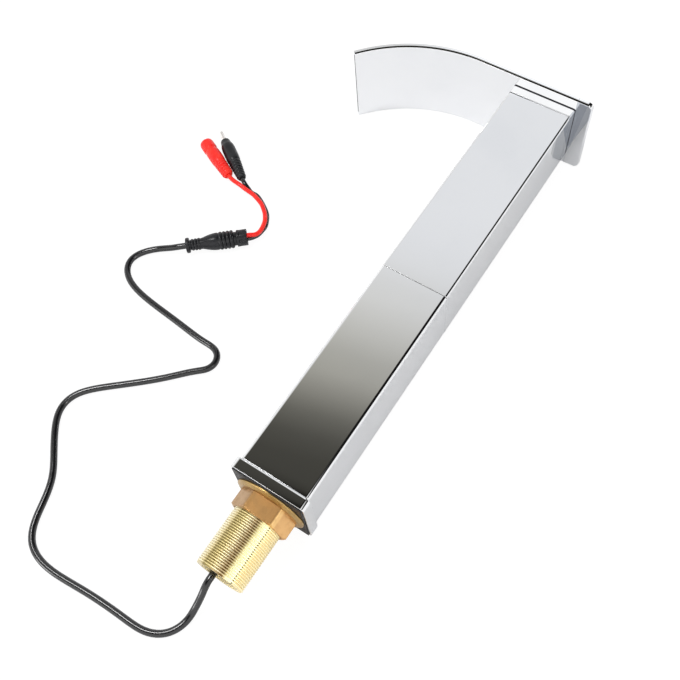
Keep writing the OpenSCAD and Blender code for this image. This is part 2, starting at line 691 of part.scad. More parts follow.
module red_jack() color("#cf2420") along(jack_in, jack_dir) difference() {
    rotate_extrude() polygon([[0, 0], [0.62 * jack_r, 0], [0.78 * jack_r, 0.04 * jack_len],
        [0.86 * jack_r, 0.24 * jack_len], [0.92 * jack_r, jack_boot_share * jack_len],
        [0.96 * jack_r, jack_neck_share * jack_len], [0.97 * jack_r, jack_ring_share * jack_len],
        [0.9 * jack_r, (jack_ring_share + 0.02) * jack_len], [0.9 * jack_r, (jack_ring_share + 0.07) * jack_len],
        [jack_r, (jack_ring_share + 0.09) * jack_len], [jack_r, 0.95 * jack_len], [0.88 * jack_r, jack_len],
        [0, jack_len]]);
    grooves(0.06 * jack_len, 0.06 * jack_len, 5, 0.84 * jack_r, 0.1 * jack_r, 0.025 * jack_len);
    translate([0, 0, (1 - jack_mouth_share) * jack_len]) cylinder(h = jack_len, r = jack_mouth_r);
}

module jack_pin() color("#c9ccd0") along(jack_in + (1 - jack_mouth_share) * jack_len * jack_dir, jack_dir)
    cylinder(h = (jack_mouth_share - 0.04) * jack_len, r = pin_r);

module black_plug() color("#1d1e20") along(plug_in, plug_dir) difference() {
    rotate_extrude() polygon([[0, 0], [0.54 * plug_r, 0], [0.64 * plug_r, 0.04 * plug_len],
        [0.8 * plug_r, plug_boot_share * plug_len], [0.96 * plug_r, 0.44 * plug_len], [plug_r, 0.5 * plug_len],
        [plug_r, plug_nose_share * plug_len], [0.78 * plug_r, 0.92 * plug_len], [0.58 * plug_r, plug_len],
        [0, plug_len]]);
    grooves(0.06 * plug_len, 0.06 * plug_len, 5, 0.74 * plug_r, 0.14 * plug_r, 0.025 * plug_len);
}

module plug_barrel() color("#d8dadd") along(plug_in + plug_len * plug_dir, plug_dir) difference() {
    cylinder(h = barrel_len, r = barrel_r);
    translate([0, 0, 0.1 * barrel_len]) cylinder(h = barrel_len, r = 0.72 * barrel_r);
}

module plug_insulator() color("#e8d9a8") along(plug_in + (plug_len + 0.1 * barrel_len) * plug_dir, plug_dir)
    difference() {
        cylinder(h = 0.88 * barrel_len, r = 0.72 * barrel_r);
        translate([0, 0, 0.1 * barrel_len]) cylinder(h = barrel_len, r = pin_r + slip_gap);
    }

lower_column();
upper_column();
seam_ring();
joint_sleeve();
head_cap();
spout_tray();
spout_cover();
base_flange();
base_gasket();
base_screws();
base_block();
threaded_shank();
clamp_washer();
lock_nut();
riser_tube();
riser_nut();
riser_washer();
riser_seal();
sensor_window();
sensor_seal();
sensor_housing();
sensor_board();
sensor_diodes();
sensor_bracket();
inner_cable();
cable_grommet();
sensor_cable();
connector_plug();
connector_socket();
red_lead();
black_lead();
red_jack();
jack_pin();
black_plug();
plug_barrel();
plug_insulator();
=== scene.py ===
# Looks of the waterfall basin faucet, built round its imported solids.
# Lengths are in millimetres until a point is written to a mesh or a curve.
import json
import math

import bmesh
import bpy
from mathutils import Matrix, Vector


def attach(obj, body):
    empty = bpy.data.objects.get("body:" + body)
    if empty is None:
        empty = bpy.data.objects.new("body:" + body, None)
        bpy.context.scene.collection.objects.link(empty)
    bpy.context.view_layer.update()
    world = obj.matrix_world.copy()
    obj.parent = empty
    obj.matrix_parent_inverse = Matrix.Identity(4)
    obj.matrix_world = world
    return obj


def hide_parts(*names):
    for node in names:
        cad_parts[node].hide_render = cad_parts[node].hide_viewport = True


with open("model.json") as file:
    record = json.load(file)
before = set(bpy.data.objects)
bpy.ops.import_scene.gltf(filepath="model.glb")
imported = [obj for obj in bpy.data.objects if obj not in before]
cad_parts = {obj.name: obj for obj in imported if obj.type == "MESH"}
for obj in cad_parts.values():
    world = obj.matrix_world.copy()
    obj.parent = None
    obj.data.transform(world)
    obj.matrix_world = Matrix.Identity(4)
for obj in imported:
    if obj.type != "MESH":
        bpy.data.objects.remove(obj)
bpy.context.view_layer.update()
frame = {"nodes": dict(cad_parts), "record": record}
nodes = frame["nodes"]
scene = bpy.context.scene
scene.view_settings.view_transform = "Standard"
mm = 0.001

# Camera

camera = {
    "place": (155.27, -97.47, 523.43),
    "right": (0.83298, 0.54939, -0.06574),
    "up": (-0.46146, 0.75534, 0.46532),
    "forward": (-0.3053, 0.35726, -0.8827),
    "lens": 47.43, "clip": (0.01, 50),
}


def linked(name, data):
    made = bpy.data.objects.new(name, data)
    scene.collection.objects.link(made)
    return made


def makeCamera(given):
    data = bpy.data.cameras.new("photoCamera")
    data.lens = given["lens"]
    data.clip_start, data.clip_end = given["clip"]
    made = linked("photoCamera", data)
    turn = Matrix((given["right"], given["up"], [-c for c in given["forward"]])).transposed()
    made.matrix_world = Matrix.Translation(Vector(given["place"]) * mm) @ turn.to_4x4()
    scene.camera = made


makeCamera(camera)
print("camera placed")

# Shader maths


class Wire:
    # One output in a node tree; sums on it add Math nodes, and node() adds any other node
    def __init__(self, tree, socket=None):
        self.tree = tree
        self.socket = socket

    def node(self, kind, settings=None, sockets=None, out=0):
        made = self.tree.nodes.new("ShaderNode" + kind)
        for key, value in (settings or {}).items():
            if key == "stops":
                fillRamp(made.color_ramp, value)
            else:
                setattr(made, key, value)
        for key, value in (sockets or {}).items():
            if isinstance(value, Wire):
                self.tree.links.new(value.socket, made.inputs[key])
            else:
                made.inputs[key].default_value = value
        return Wire(self.tree, made.outputs[out] if made.outputs else None)

    def maths(self, operation, *values):
        return self.node("Math", {"operation": operation}, dict(enumerate(values)))

    def most(self, other):
        return self.maths("MAXIMUM", self, other)

    def __add__(self, other):
        return self.maths("ADD", self, other)

    def __sub__(self, other):
        return self.maths("SUBTRACT", self, other)

    def __rsub__(self, other):
        return self.maths("SUBTRACT", other, self)

    def __mul__(self, other):
        return self.maths("MULTIPLY", self, other)

    def __truediv__(self, other):
        return self.maths("DIVIDE", self, other)

    def __rtruediv__(self, other):
        return self.maths("DIVIDE", other, self)

    def __pow__(self, other):
        return self.maths("POWER", self, other)

    __radd__ = __add__
    __rmul__ = __mul__


def fillRamp(ramp, stops):
    while len(ramp.elements) < len(stops):
        ramp.elements.new(0.5)
    for element, (place, colour) in zip(ramp.elements, stops):
        element.position = place
        element.color = colour if len(colour) == 4 else (*colour, 1)


def grey(value):
    return (value, value, value, 1)


def blended(paint, share, first, second):
    sockets = {0: share, 6: first, 7: second}
    return paint.node("Mix", {"data_type": "RGBA"}, sockets, 2)


def step(value, low, high):
    # 0 below low, 1 above high, smooth between; the other way round where high is the lower
    return value.node("MapRange", {"interpolation_type": "SMOOTHSTEP"},
                      {"Value": value, "From Min": low, "From Max": high})


def band(value, edges):
    # 1 between the middle two of the four edges and 0 outside the outer two
    return step(value, edges[0], edges[1]) * step(value, edges[3], edges[2])


def spot(paint):
    return paint.node("TexCoord", out="Object")


def along(paint, axis):
    # Millimetres along one axis of the piece
    return paint.node("SeparateXYZ", {}, {0: spot(paint)}, axis) / mm


def turnColour(paint, stops):
    # Colour by the angle round the column's axis, in degrees from the front towards the right
    x, z = along(paint, "X"), along(paint, "Z")
    around = x.maths("ARCTAN2", x, z) / math.pi + 0.5
    return paint.node("ValToRGB", {"stops": [((turn + 90) / 180, colour) for turn, colour in stops]}, {"Fac": around})


def noise(paint, size, detail=3.0, rough=0.55, stretch=(1, 1, 1)):
    # Soft noise whose blotches are about size millimetres across
    place = paint.node("Mapping", {}, {"Vector": spot(paint), "Scale": [s / (size * mm) for s in stretch]})
    return paint.node("TexNoise", {}, {"Vector": place, "Scale": 1.0, "Detail": detail, "Roughness": rough})


def bump(paint, height, depth):
    return paint.node("Bump", {}, {"Height": height, "Distance": depth * mm})


def emptied(owner):
    # Start of a new node tree in a material or a world
    owner.use_nodes = True
    owner.node_tree.nodes.clear()
    return Wire(owner.node_tree)


def surface(name, fixed, varied):
    # fixed are numbers on the shader's own sockets, and varied(paint) gives what changes over the surface
    made = bpy.data.materials.new(name)
    paint = emptied(made)
    shader = paint.node("BsdfPrincipled", {}, {**fixed, **varied(paint)})
    paint.node("OutputMaterial", {}, {"Surface": shader})
    return made


# Finishes: one for each material slot of the record, and one for the cap

chromeLook = {
    "clean": (0.79, 0.793, 0.797, 1), "hazed": (0.765, 0.77, 0.778, 1), "darker": (0.51, 0.53, 0.565, 1),
    "roughness": 0.02, "hazeSize": 60, "hazeEdges": (0.42, 0.72), "haze": 0.035, "waveSize": 46, "wave": 0.035,
    "waveStretch": (1, 0.7, 1), "grainSize": 1.2, "grain": 0.0006,
}
# Painted shade in the inner corner under the overhang, a darker patch that stands in for the darker reflections
# there: its part of the column's right face, then its part of the plate's underside
cornerShadeLook = {
    "faceX": (24.3, 24.45, 24.6, 24.8), "faceY": (317.5, 318.5), "faceSlope": 0.826, "faceFrom": (319.5, 320.5),
    "underY": (346.9, 346.99, 347.1, 347.3), "underX": (24.3, 24.5), "underSlope": 0.2985, "underTo": 30,
    "underFade": (0.0, 0.6),
}


def paintedCornerShade(paint):
    # Share of the painted shade, darker plating that stands in for the darker reflections in the corner between the
    # column and the overhanging plate
    c = cornerShadeLook
    x, y, z = (along(paint, axis) for axis in "XYZ")
    face = band(x, c["faceX"]) * step(y, *c["faceY"]) * step(z * c["faceSlope"] + y, *c["faceFrom"])
    reach = z * c["underSlope"] - x + c["underTo"]
    underside = band(y, c["underY"]) * step(x, *c["underX"]) * step(reach, *c["underFade"])
    return face.most(underside)


def chromePaint(paint):
    c = chromeLook
    haze = noise(paint, c["hazeSize"], 5, 0.6)
    wave = noise(paint, c["waveSize"], 0, 0.5, c["waveStretch"])
    grain = noise(paint, c["grainSize"], 2)
    veil = step(haze, *c["hazeEdges"])
    clear = blended(paint, veil, c["clean"], c["hazed"])
    # Base colour: clean or hazed plating, darkened by the painted shade in the inner corner
    return {"Base Color": blended(paint, paintedCornerShade(paint), clear, c["darker"]),
            "Roughness": veil * c["haze"] + c["roughness"],
            "Normal": bump(paint, wave * c["wave"] + grain * c["grain"], 1)}


# Painted shade in the cap's two joints, a dark line that stands in for the shadow in each crevice: the edges of its
# lines, and where the lower line thins out along the width
jointShadeLook = {
    "top": (346.1, 346.2, 346.96, 346.99), "foot": (338.99, 339.02, 339.5, 339.6), "fade": (-2, -14),
    "colour": (0.03, 0.032, 0.036, 1), "thin": 0.45, "roughness": 0.6,
}


def capPaint(paint):
    # Chrome with a thin dark line of painted shade at the cap's upper and lower joint
    plain = chromePaint(paint)
    height = along(paint, "Y")
    thick = step(along(paint, "X"), *jointShadeLook["fade"]) * (1 - jointShadeLook["thin"]) + jointShadeLook["thin"]
    # Dark line of painted shade at each joint, thinner along part of the lower one
    jointShade = band(height, jointShadeLook["top"]).most(band(height, jointShadeLook["foot"]) * thick)
    return {**plain, "Base Color": blended(paint, jointShade, plain["Base Color"], jointShadeLook["colour"]),
            "Roughness": plain["Roughness"] * (1 - jointShade) + jointShade * jointShadeLook["roughness"]}


brassLook = {"blotch": (6, 0.65), "grain": (3, 0.6), "grainSheen": 0.08}    # detail and roughness of each noise


def brassPaint(bright, darker, size, low, high, roughness, spread, depth, grainSize=0.6, stretch=(1, 1, 1)):
    # Metal with blotches of tarnish and a fine grain
    def varied(paint):
        blotch = step(noise(paint, size, *brassLook["blotch"], stretch), low, high)
        grain = noise(paint, grainSize, *brassLook["grain"], stretch)
        return {"Base Color": blended(paint, blotch, (*bright, 1), (*darker, 1)),
                "Roughness": blotch * spread + grain * brassLook["grainSheen"] + roughness,
                "Normal": bump(paint, grain, depth)}
    return varied


threadLook = {
    "rootR": 15.95, "crestR": 16.4, "boreR": (13.2, 13.0), "bore": (1.0, 0.93, 0.7, 1), "roughness": 0.4,
    "rootShine": 0.1, "boreShine": 0.3, "stainSize": 7, "stainEdges": (0.4, 0.75), "stain": 0.1,
    "grainSize": 0.4, "grain": 0.004,
}
# Painted reflections and shade round the shank, colour bands that stand in for what the thread reflects: degrees from
# the front towards the right, the crest's colour and the root's
threadReflections = [
    (-90, (0.84, 0.75, 0.55), (0.6, 0.52, 0.34)), (-48, (0.96, 0.9, 0.68), (0.72, 0.64, 0.43)),
    (-37, (0.88, 0.78, 0.5), (0.52, 0.44, 0.24)), (-31, (0.56, 0.47, 0.23), (0.27, 0.21, 0.085)),
    (-22, (0.7, 0.6, 0.3), (0.34, 0.27, 0.11)), (-13, (0.7, 0.6, 0.31), (0.33, 0.26, 0.11)),
    (-3, (0.84, 0.76, 0.5), (0.38, 0.3, 0.15)), (5, (0.9, 0.82, 0.57), (0.38, 0.29, 0.15)),
    (12, (0.92, 0.78, 0.5), (0.36, 0.24, 0.1)), (15, (0.86, 0.7, 0.4), (0.17, 0.09, 0.025)),
    (20, (0.9, 0.76, 0.45), (0.22, 0.13, 0.04)), (23.5, (0.95, 0.88, 0.56), (0.62, 0.5, 0.24)),
    (28, (0.99, 0.95, 0.66), (0.95, 0.89, 0.58)), (44, (0.99, 0.97, 0.7), (0.97, 0.92, 0.62)),
    (45.2, (0.97, 0.93, 0.62), (0.15, 0.12, 0.05)), (46.8, (0.95, 0.9, 0.58), (0.15, 0.12, 0.05)),
    (48, (0.97, 0.91, 0.61), (0.84, 0.73, 0.43)), (54, (0.96, 0.86, 0.54), (0.86, 0.72, 0.42)),
    (90, (0.95, 0.85, 0.54), (0.82, 0.7, 0.42))]


def threadPaint(paint):
    t = threadLook
    x, z = along(paint, "X"), along(paint, "Z")
    radius = (x * x + z * z) ** 0.5
    crest = step(radius, t["rootR"], t["crestR"])
    # Painted reflections and shade: the crest's and the root's colours by the angle round the shank
    ridge = turnColour(paint, [(turn, high) for turn, high, low in threadReflections])
    groove = turnColour(paint, [(turn, low) for turn, high, low in threadReflections])
    stain = step(noise(paint, t["stainSize"], 5, 0.6), *t["stainEdges"])
    bore = step(radius, *t["boreR"])
    return {"Base Color": blended(paint, bore, blended(paint, crest, groove, ridge), t["bore"]),
            "Roughness": stain * t["stain"] + (1 - crest) * t["rootShine"] + bore * t["boreShine"] + t["roughness"],
            "Normal": bump(paint, noise(paint, t["grainSize"], 2), t["grain"])}


# Painted light and shade on the forged nut, each flat toned by how it faces the light and the corner a painted
# highlight: degrees from the front towards the right, over left flat, middle flat, corner, right flat
nutLightTurns = [
    (-90, (0.45, 0.29, 0.165)), (-26, (0.45, 0.29, 0.165)), (-20, (0.38, 0.21, 0.08)), (-12, (0.55, 0.29, 0.105)),
    (36, (0.55, 0.29, 0.105)), (38.5, (1.0, 0.66, 0.28)), (47, (1.0, 0.66, 0.28)), (50, (0.82, 0.48, 0.2)),
    (90, (0.82, 0.48, 0.2))]
nutLook = {"plainShare": 0.35, "brass": ((0.56, 0.35, 0.15), (0.36, 0.21, 0.08), 5, 0.38, 0.7, 0.34, 0.14, 0.04, 0.8)}


def nutPaint(paint):
    plain = brassPaint(*nutLook["brass"])(paint)
    # Painted light and shade by the angle round the nut, mixed with the plain brass
    paintedLight = turnColour(paint, nutLightTurns)
    return {**plain, "Base Color": blended(paint, nutLook["plainShare"], paintedLight, plain["Base Color"])}


mouldedLook = {"grain": (4, 0.7), "slowDetail": 3, "slowEdges": (0.35, 0.75)}


def mouldedPaint(body, pale, roughness, spread, depth, grainSize=0.35, marks=9):
    # Moulded plastic or rubber: a fine grain, and slow changes of sheen
    def varied(paint):
        grain = noise(paint, grainSize, *mouldedLook["grain"])
        slow = step(noise(paint, marks, mouldedLook["slowDetail"]), *mouldedLook["slowEdges"])
        return {"Base Color": blended(paint, slow, (*body, 1), (*pale, 1)),
                "Roughness": slow * spread + roughness,
                "Normal": bump(paint, grain, depth)}
    return varied


windowLook = {"moulded": ((0.02, 0.012, 0.02), (0.028, 0.016, 0.026), 0.08, 0.04, 0.001), "coat": 0.5,
              "coatSpread": 0.2, "coatSize": 12}
boardLook = {
    "scale": 260, "gap": 0.03, "shadeSize": 4, "shadeEdges": (0.3, 0.8), "green": (0.03, 0.24, 0.1, 1),
    "pale": (0.06, 0.32, 0.14, 1), "track": (0.22, 0.4, 0.16, 1), "roughness": 0.3, "spread": 0.15, "relief": 0.03,
}


def windowPaint(paint):
    # Dark clear plastic under a polished face
    plain = mouldedPaint(*windowLook["moulded"])(paint)
    coat = noise(paint, windowLook["coatSize"], 2) * windowLook["coatSpread"] + windowLook["coat"]
    return {**plain, "Coat Weight": coat}


def boardPaint(paint):
    # Green varnish over copper tracks
    b = boardLook
    tracks = paint.node("TexBrick", {"offset": 0.5}, {
        "Vector": spot(paint), "Scale": b["scale"], "Mortar Size": b["gap"], "Color1": grey(0), "Color2": grey(0),
        "Mortar": grey(1)})
    shade = step(noise(paint, b["shadeSize"], 3), *b["shadeEdges"])
    varnish = blended(paint, shade, b["green"], b["pale"])
    return {"Base Color": blended(paint, tracks, varnish, b["track"]),
            "Roughness": shade * b["spread"] + b["roughness"], "Normal": bump(paint, tracks, b["relief"])}


metal = {"Metallic": 1.0}
metals = {    # name, then what brassPaint takes
    "cast_brass": ("castBrass", (0.72, 0.56, 0.28), (0.5, 0.36, 0.18), 9, 0.35, 0.75, 0.42, 0.15, 0.06),
    "turned_brass": ("turnedBrass", (0.44, 0.29, 0.11), (0.3, 0.19, 0.07), 8, 0.45, 0.8, 0.26, 0.16, 0.006),
    "steel": ("stainlessSteel", (0.72, 0.73, 0.75), (0.6, 0.61, 0.63), 6, 0.4, 0.8, 0.25, 0.1, 0.004),
    "copper": ("drawnCopper", (0.82, 0.47, 0.3), (0.55, 0.29, 0.18), 12, 0.4, 0.8, 0.24, 0.15, 0.004, 0.8,
               (1, 0.08, 1)),
    "nickel": ("nickelPlate", (0.84, 0.82, 0.8), (0.72, 0.66, 0.62), 3, 0.4, 0.8, 0.14, 0.1, 0.002),
}
plastics = {    # name, specular level, then what mouldedPaint takes
    "fibre": ("redFibre", 0.5, (0.45, 0.13, 0.1), (0.36, 0.1, 0.08), 0.7, 0.15, 0.03, 0.3, 2),
    "black_seal": ("blackRubber", 0.2, (0.01, 0.01, 0.011), (0.018, 0.018, 0.019), 0.4, 0.2, 0.01),
    "housing_plastic": ("sensorPlastic", 0.5, (0.05, 0.05, 0.055), (0.065, 0.065, 0.07), 0.45, 0.15, 0.02),
    "diode_violet": ("diodeLens", 0.5, (0.09, 0.05, 0.15), (0.12, 0.08, 0.2), 0.08, 0.05, 0.001),
    "cable_black": ("cableSheath", 0.6, (0.005, 0.005, 0.006), (0.008, 0.008, 0.009), 0.17, 0.05, 0.002, 0.5, 14),
    "moulded_black": ("connectorPlastic", 0.3, (0.008, 0.008, 0.01), (0.014, 0.015, 0.017), 0.3, 0.12, 0.006),
    "lead_red": ("redPlastic", 0.3, (0.86, 0.016, 0.012), (0.95, 0.035, 0.02), 0.28, 0.1, 0.006),
    "insulator": ("plugInsulator", 0.5, (0.8, 0.7, 0.5), (0.7, 0.58, 0.4), 0.45, 0.1, 0.01),
}
finishes = {
    "chrome": surface("chromePlate", metal, chromePaint),
    "cap": surface("capPlate", metal, capPaint),
    "forged_brass": surface("forgedBrass", metal, nutPaint),
    "thread_brass": surface("threadBrass", metal, threadPaint),
    "window_black": surface("infraredWindow", {"Coat Roughness": 0.03}, windowPaint),
    "board_green": surface("circuitBoard", {}, boardPaint),
}
for slot, (name, *numbers) in metals.items():
    finishes[slot] = surface(name, metal, brassPaint(*numbers))
for slot, (name, level, *numbers) in plastics.items():
    finishes[slot] = surface(name, {"Specular IOR Level": level}, mouldedPaint(*numbers))
print("finishes made:", len(finishes))

# Meshes


def joinRings(bm, rings, closed=False):
    # Quads between rings of points, or a fan where a ring is one point
    pairs = list(zip(rings, rings[1:])) + ([(rings[-1], rings[0])] if closed else [])
    for first, second in pairs:
        count = max(len(first), len(second))
        for k in range(count):
            after = (k + 1) % count
            corners = [first[k % len(first)], first[after % len(first)],
                       second[after % len(second)], second[k % len(second)]]
            corners = [v for i, v in enumerate(corners) if v not in corners[:i]]
            bm.faces.new(corners)


def quads(bm, first, second):
    # Quads between two lines of points
    for k in range(len(first) - 1):
        bm.faces.new((first[k], first[k + 1], second[k + 1], second[k]))


def meshOf(bm, name):
    data = bpy.data.meshes.new(name)
    bm.to_mesh(data)
    bm.free()
    return data


def keepFlat(made):
    # Flat faces stay flat in the reflections beside rounded edges
    made.modifiers.new("flatFaces", "WEIGHTED_NORMAL").keep_sharp = True


def asPiece(bm, name, slot, body="root", node=None, sharp=35, crisp=False):
    # The mesh as a piece of the faucet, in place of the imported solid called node
    bmesh.ops.recalc_face_normals(bm, faces=bm.faces)
    data = meshOf(bm, name)
    data.shade_smooth()
    data.set_sharp_from_angle(angle=math.radians(sharp))
    made = linked(name, data)
    data.materials.append(finishes[slot])
    if crisp:
        keepFlat(made)
    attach(made, body)
    if node:
        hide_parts(node)
    return made


def turned(rows, place, sides=64, shape=None, closed=False):
    # Body turned about the z axis of place, through rows of (height, radius)
    bm = bmesh.new()
    rings = []
    for height, radius in rows:
        ring = []
        for k in range(sides if radius > 0 else 1):
            angle = 2 * math.pi * k / sides
            r = shape(angle, height, radius) if shape else radius
            ring.append(bm.verts.new(place @ Vector((r * math.cos(angle), r * math.sin(angle), height)) * mm))
        rings.append(ring)
    joinRings(bm, rings, closed)
    return bm


def softened(rows, size, steps=4):
    # The same profile with its inner corners rounded by about size
    made = [rows[0]]
    for before, here, after in zip(rows, rows[1:], rows[2:]):
        a, b, c = Vector(before), Vector(here), Vector(after)
        reach = min(size, (a - b).length * 0.45, (c - b).length * 0.45)
        start, end = b + (a - b).normalized() * reach, b + (c - b).normalized() * reach
        for k in range(steps + 1):
            t = k / steps
            made.append(tuple((1 - t) ** 2 * start + 2 * t * (1 - t) * b + t * t * end))
    made.append(rows[-1])
    return made


def axisAt(start, direction):
    # Place whose z axis runs along a direction
    turn = Matrix.Rotation(math.atan2(direction.y, direction.x), 4, "Z") \
        @ Matrix.Rotation(math.acos(direction.z), 4, "Y")
    return Matrix.Translation(start) @ turn


upright = Matrix.Rotation(math.radians(-90), 4, "X")       # z of a turned body up the column


# Surface that everything lies on: through the spout's end, the plate's back and the flange's corner

restPoints = [Vector((-138.527, 308.754, -33.3)), Vector((32, 349, -33.3)), Vector((25, 0, -26.5))]
restNormal = (restPoints[1] - restPoints[0]).cross(restPoints[2] - restPoints[0]).normalized()
layGap = 0.1


def groundAt(x, y):
    a = restPoints[0]
    return a.z - (restNormal.x * (x - a.x) + restNormal.y * (y - a.y)) / restNormal.z


def lying(x, y, lift):
    return Vector((x, y, groundAt(x, y) + lift + layGap))


def headingAt(place, turn):
    a = math.radians(turn)
    x, y = place
    ahead = (x + math.cos(a), y + math.sin(a))
    return Vector((math.cos(a), math.sin(a), groundAt(*ahead) - groundAt(x, y))).normalized()


# Cords

cable = {
    "diameter": 4.7, "length": 0.53, "exit": (-6.495, -54, -8.3135), "lineup": 7.05,
    "route": [
        (-6.5, -60, 15), (-6, -66, 11), (-6.5, -71, 6), (-7, -76, 2), (-7, -82, 0),
        (-9, -90.5, 0), (-15.5, -98.5, 0), (-27, -103, 0), (-43, -102.5, 0), (-69, -103, 0),
        (-95, -106, 0), (-111, -104.5, 0), (-122.5, -98.5, 0), (-129, -87.5, 0), (-132.5, -75, 0),
        (-138, -59.5, 0), (-149, -47, 0), (-160.5, -34, 0), (-169, -21, 0), (-168.5, -8, 0),
        (-160.5, 3, 0), (-145, 16, 0), (-123, 35, 0), (-108.2, 51.6, 0), (-100.3, 57.2, 0),
        (-98.2, 64.2, 0), (-100.8, 70.7, 0), (-107.3, 74.4, 0), (-118.8, 73.6, 0), (-143.5, 77.1, 0),
        (-178, 80, 0), (-197.5, 86, 0), (-206.5, 97, 0), (-204.5, 108, 0), (-195, 118, 0.5),
        (-185, 123, 2.5)],
}
redLead = {
    "diameter": 3.4, "length": 0.0785, "stub": 3, "lineup": 5,
    "route": [
        (-135.9, 164.1, 6.1), (-134.6, 168.9, 5.2), (-137.7, 178.8, 4.1), (-139.3, 180.9, 4.5),
        (-142, 184.9, 3.6), (-148.8, 190.4, 3.5), (-150.9, 191.7, 3.4), (-159.6, 195.1, 3.6),
        (-164.8, 195.8, 3.5), (-172.5, 196.8, 3.5), (-174.6, 197.1, 4.6)],
}
blackLead = {
    "diameter": 3.4, "length": 0.0702, "stub": 3, "lineup": 5,
    "route": [
        (-136.9, 164.3, 2.9), (-136, 167.4, 1.8), (-136.2, 176.4, 0.9), (-137, 178.4, 1),
        (-141.1, 186, 0), (-146.1, 190.4, 0), (-158.8, 198.2, 0), (-162.9, 197.9, 0),
        (-164.4, 197.9, 0), (-166.6, 198.3, 0.2), (-169, 199.3, 1.2)],
}
insideCable = {
    "diameter": 4.7,
    "route": [
        (-15.95, 274.5, 0), (-15.95, 236.9, 0), (-15.95, 121.6, 0), (-15.95, 84, 0), (-11.22, 65.2, -4.157),
        (-6.495, 46.4, -8.3135), (-6.495, 27.6, -8.3135), (-6.495, -54, -8.3135)],
}
# Profiles are places along the axis and radii; rings are from, to, how many, outer radii, inner radii
connector = {
    "at": (-174.8, 130.2), "turn": 41, "radius": 6.8, "end": 45.5, "collarFrom": 37.9, "leadRise": 2.21,
    "disc": [(0, 0), (0, 5.7), (2.4, 5.7), (2.4, 3.7), (3.6, 3.7)],
    "neckRings": (3.6, 10.8, 3, (4.35, 4.55), (3.65, 4)),
    "belly": [(10.8, 4), (12.528, 4.284), (15.12, 5.1), (18, 5.848), (20.88, 6.324), (23.472, 6.46)],
    "bellyRings": (24.6, 35.6, 4, (6.698, 6.8), (5.984, 5.848)),
    "gap": [(35.6, 5.848), (35.7, 5.1), (37.9, 5.1), (37.9, 0)],
    "collar": [(0, 0), (0, 6.2), (1.7, 6.2), (1.9, 6.014), (2.1, 6.138), (7.6, 6.2), (7.6, 3.844), (6.8, 3.596),
               (6.8, 0)],
    "notches": 6, "notchDepth": 0.13, "notchFrom": 1.9, "notchLeast": 5.58, "notchEdges": (0.6, 0.85),
}
jack = {
    "at": (-188.2, 200.3), "turn": 154.5, "radius": 5.5,
    "end": [(0, 0), (0, 3.08), (0.5925, 3.63)], "rings": (1.185, 14.22, 5, (4.4, 5.06), (3.74, 4.4)),
    "body": [(14.22, 4.51), (15.8, 5.115), (17.775, 5.335), (22.91, 5.4175), (27.4525, 5.335), (27.8475, 4.95),
             (30.2175, 4.95), (30.6125, 5.445), (31.995, 5.5), (37.525, 5.5), (38.71, 5.225), (39.5, 4.62),
             (39.5, 3.3), (38.3, 2.86), (38.3, 1.95), (28.5, 1.95), (28.5, 0)],
}
plug = {
    "at": (-177.4, 203.3), "turn": 145.8, "radius": 5.3, "length": 42,
    "end": [(0, 0), (0, 2.756), (0.42, 3.074)], "rings": (0.84, 17.64, 6, (3.604, 4.982), (2.862, 4.24)),
    "body": [(17.64, 4.452), (19.32, 5.088), (21.84, 5.3), (32.76, 5.3), (35.28, 5.035), (36.96, 4.505),
             (38.64, 4.081), (40.32, 3.869), (41.37, 3.604), (42, 2.915), (42, 0)],
    "barrel": [(0.94, 0), (0.94, 1.26), (9.1, 1.26), (9.4, 1.4), (9.4, 1.645), (9, 1.75), (0.2, 1.75), (0, 1.68),
               (0, 0)],
}
ringWave = [(0, 0), (0.14, 0.55), (0.3, 0.9), (0.5, 1), (0.7, 0.9), (0.86, 0.55)]    # shares of pitch and height

connectorIn = lying(*connector["at"], connector["radius"])
connectorDir = headingAt(connector["at"], connector["turn"])
connectorOut = connectorIn + connector["end"] * connectorDir
leadRise = Vector((0, 0, connector["leadRise"]))
jackIn, jackDir = lying(*jack["at"], jack["radius"]), headingAt(jack["at"], jack["turn"])
plugIn, plugDir = lying(*plug["at"], plug["radius"]), headingAt(plug["at"], plug["turn"])


def smoothLine(points, steps=5):
    # Cubic B-spline led by the points, which runs straight out at both ends
    whole = [2 * points[0] - points[1], *points, 2 * points[-1] - points[-2]]
    line = []
    for a, b, c, d in zip(whole, whole[1:], whole[2:], whole[3:]):
        for k in range(steps):
            t = k / steps
            line.append(((1 - t) ** 3 * a + (3 * t ** 3 - 6 * t ** 2 + 4) * b
                         + (1 + 3 * t + 3 * t ** 2 - 3 * t ** 3) * c + t ** 3 * d) / 6)
    return line + [points[-1]]


def makeCord(name, points, diameter, slot, node):
    data = bpy.data.curves.new(name, "CURVE")
    data.dimensions = "3D"
    data.bevel_depth = diameter / 2 * mm
    data.bevel_resolution = 5
    data.use_fill_caps = True
    line = smoothLine(points)
    spline = data.splines.new("POLY")
    spline.points.add(len(line) - 1)
    for point, place in zip(spline.points, line):
        point.co = (*(place * mm), 1)
    spline.use_smooth = True
    data.materials.append(finishes[slot])
    made = linked(name, data)
    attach(made, "root")
    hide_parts(node)
    return made


